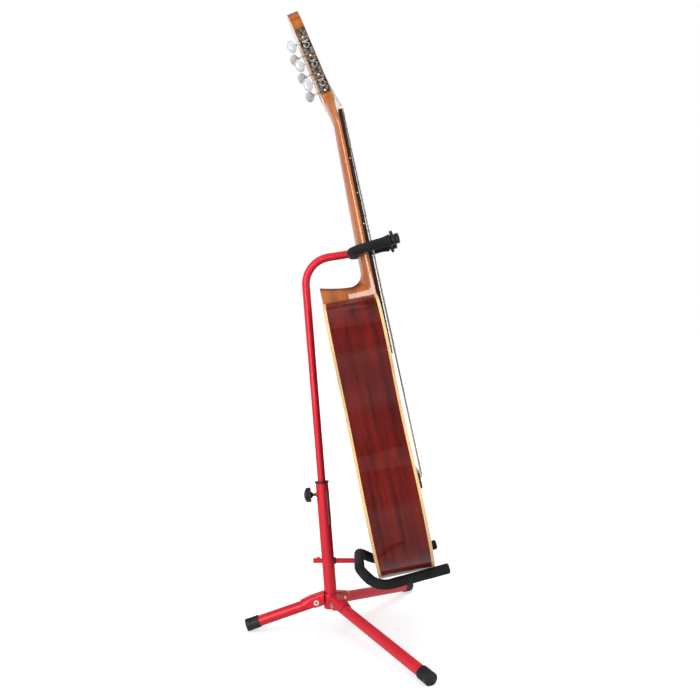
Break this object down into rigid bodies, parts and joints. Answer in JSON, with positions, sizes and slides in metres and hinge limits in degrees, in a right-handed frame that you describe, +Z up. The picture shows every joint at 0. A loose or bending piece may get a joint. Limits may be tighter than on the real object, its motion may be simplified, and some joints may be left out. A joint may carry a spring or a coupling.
{
  "type": "guitar on stand",
  "caption": "Classical guitar leaning in a folding tubular tripod stand, with a foam cradle under the body, a telescoping mast and a foam neck yoke with a rubber strap.",
  "frame": {"origin": "on the floor under the middle of the bounding box", "axes": "+X the way the guitar faces, +Y to the guitar's treble side, +Z up"},
  "size_m": [0.3544, 0.5554, 1.0962],
  "materials": {
    "red_steel": "gloss powder coat",
    "black_foam": "fine closed-cell foam",
    "black_rubber": "satin rubber",
    "black_plastic": "moulded",
    "bare_label": "plain film",
    "steel": "plated",
    "plated_plate": "engraved, plated",
    "roller": "plated",
    "pearl_plastic": "pearl",
    "spruce": "gloss lacquer",
    "mahogany_red": "gloss lacquer",
    "maple": "gloss lacquer",
    "neck_wood": "gloss lacquer",
    "rosewood": "oiled",
    "nickel": "polished",
    "bone": "polished bone",
    "wound": "wound wire",
    "nylon": "clear nylon"
  },
  "bodies": {
    "base": {"post_tube": "red_steel", "collar_bush": "black_plastic", "label_strip": "bare_label", "base_hub": "red_steel", "leg_rivets": "steel", "cradle_bar": "red_steel", "cradle_foam": "black_foam", "cradle_bush": "black_rubber"},
    "rear_leg": {"leg_rear": "red_steel", "foot_rear": "black_rubber"},
    "left_leg": {"leg_left": "red_steel", "foot_left": "black_rubber"},
    "right_leg": {"leg_right": "red_steel", "foot_right": "black_rubber"},
    "clamp": {"clamp_knob": "black_plastic", "clamp_screw": "steel"},
    "mast": {"mast": "red_steel", "yoke_foam": "black_foam", "yoke_caps": "black_rubber"},
    "strap": {"neck_strap": "black_rubber"},
    "guitar": {"back_binding": "maple", "back_braces": "spruce", "back_plate": "mahogany_red", "bridge": "rosewood", "fretboard": "rosewood", "frets": "nickel", "linings": "spruce", "neck": "neck_wood", "neck_block": "neck_wood", "nut": "bone", "nylon_strings": "nylon", "saddle": "bone", "side_bass": "mahogany_red", "side_treble": "mahogany_red", "soundboard": "spruce", "tail_block": "neck_wood", "top_binding": "maple", "top_braces": "spruce", "tuner_plate_bass": "plated_plate", "tuner_plate_treble": "plated_plate", "tuner_screws": "steel", "wound_strings": "wound"},
    "key_1": {"tuner_worm_1": "steel", "tuner_button_1": "pearl_plastic"},
    "roller_1": {"tuner_roller_1": "roller"},
    "key_2": {"tuner_worm_2": "steel", "tuner_button_2": "pearl_plastic"},
    "roller_2": {"tuner_roller_2": "roller"},
    "key_3": {"tuner_worm_3": "steel", "tuner_button_3": "pearl_plastic"},
    "roller_3": {"tuner_roller_3": "roller"},
    "key_4": {"tuner_worm_4": "steel", "tuner_button_4": "pearl_plastic"},
    "roller_4": {"tuner_roller_4": "roller"},
    "key_5": {"tuner_worm_5": "steel", "tuner_button_5": "pearl_plastic"},
    "roller_5": {"tuner_roller_5": "roller"},
    "key_6": {"tuner_worm_6": "steel", "tuner_button_6": "pearl_plastic"},
    "roller_6": {"tuner_roller_6": "roller"}
  },
  "joints": [
    {"name": "rear_leg_fold", "type": "hinge", "parent": "base", "child": "rear_leg", "pos_m": [-0.052, 0, 0.0525], "axis": [0, -1, 0], "range_deg": [0, 68]},
    {"name": "left_leg_fold", "type": "hinge", "parent": "base", "child": "left_leg", "pos_m": [-0.0132, 0.02263, 0.0525], "axis": [-0.8704, 0.4924, 0], "range_deg": [0, 78]},
    {"name": "right_leg_fold", "type": "hinge", "parent": "base", "child": "right_leg", "pos_m": [-0.0132, -0.02263, 0.0525], "axis": [0.8704, 0.4924, 0], "range_deg": [0, 78]},
    {"name": "mast_slide", "type": "slide", "parent": "base", "child": "mast", "axis": [-0.0802, 0, 0.9968], "range_m": [-0.025, 0.03], "deforming": ["yoke_foam"]},
    {"name": "clamp_turn", "type": "hinge", "parent": "base", "child": "clamp", "pos_m": [-0.06109, 0, 0.24079], "axis": [-0.9968, 0, -0.0802], "range_deg": [0, 720]},
    {"name": "strap_swing", "type": "hinge", "parent": "mast", "child": "strap", "pos_m": [0.08017, 0.048, 0.68854], "axis": [0.9613, 0, 0.2756], "range_deg": [0, 90], "deforming": ["neck_strap"]},
    {"name": "guitar_lift", "type": "slide", "parent": "base", "child": "guitar", "axis": [0.9397, 0, 0.342], "range_m": [0, 0.16], "deforming": ["neck_strap"]},
    {"name": "key_1_turn", "type": "hinge", "parent": "guitar", "child": "key_1", "pos_m": [-0.043, -0.0405, 0.96633], "axis": [0.9222, 0, 0.3867], "continuous": true},
    {"name": "roller_1_turn", "type": "hinge", "parent": "guitar", "child": "roller_1", "pos_m": [-0.04022, -0.021, 0.95969], "axis": [0, 1, 0], "continuous": true},
    {"name": "key_2_turn", "type": "hinge", "parent": "guitar", "child": "key_2", "pos_m": [-0.05692, -0.0405, 0.99952], "axis": [0.9222, 0, 0.3867], "continuous": true},
    {"name": "roller_2_turn", "type": "hinge", "parent": "guitar", "child": "roller_2", "pos_m": [-0.05414, -0.021, 0.99289], "axis": [0, 1, 0], "continuous": true},
    {"name": "key_3_turn", "type": "hinge", "parent": "guitar", "child": "key_3", "pos_m": [-0.07084, -0.0405, 1.03272], "axis": [0.9222, 0, 0.3867], "continuous": true},
    {"name": "roller_3_turn", "type": "hinge", "parent": "guitar", "child": "roller_3", "pos_m": [-0.06806, -0.021, 1.02608], "axis": [0, 1, 0], "continuous": true},
    {"name": "key_4_turn", "type": "hinge", "parent": "guitar", "child": "key_4", "pos_m": [-0.043, 0.0405, 0.96633], "axis": [0.9222, 0, 0.3867], "continuous": true},
    {"name": "roller_4_turn", "type": "hinge", "parent": "guitar", "child": "roller_4", "pos_m": [-0.04022, 0.021, 0.95969], "axis": [0, 1, 0], "continuous": true},
    {"name": "key_5_turn", "type": "hinge", "parent": "guitar", "child": "key_5", "pos_m": [-0.05692, 0.0405, 0.99952], "axis": [0.9222, 0, 0.3867], "continuous": true},
    {"name": "roller_5_turn", "type": "hinge", "parent": "guitar", "child": "roller_5", "pos_m": [-0.05414, 0.021, 0.99289], "axis": [0, 1, 0], "continuous": true},
    {"name": "key_6_turn", "type": "hinge", "parent": "guitar", "child": "key_6", "pos_m": [-0.07084, 0.0405, 1.03272], "axis": [0.9222, 0, 0.3867], "continuous": true},
    {"name": "roller_6_turn", "type": "hinge", "parent": "guitar", "child": "roller_6", "pos_m": [-0.06806, 0.021, 1.02608], "axis": [0, 1, 0], "continuous": true}
  ],
  "couplings": [
    {"joint": "roller_1_turn", "follows": "key_1_turn", "ratio": 0.071429},
    {"joint": "roller_2_turn", "follows": "key_2_turn", "ratio": 0.071429},
    {"joint": "roller_3_turn", "follows": "key_3_turn", "ratio": 0.071429},
    {"joint": "roller_4_turn", "follows": "key_4_turn", "ratio": -0.071429},
    {"joint": "roller_5_turn", "follows": "key_5_turn", "ratio": -0.071429},
    {"joint": "roller_6_turn", "follows": "key_6_turn", "ratio": -0.071429}
  ]
}
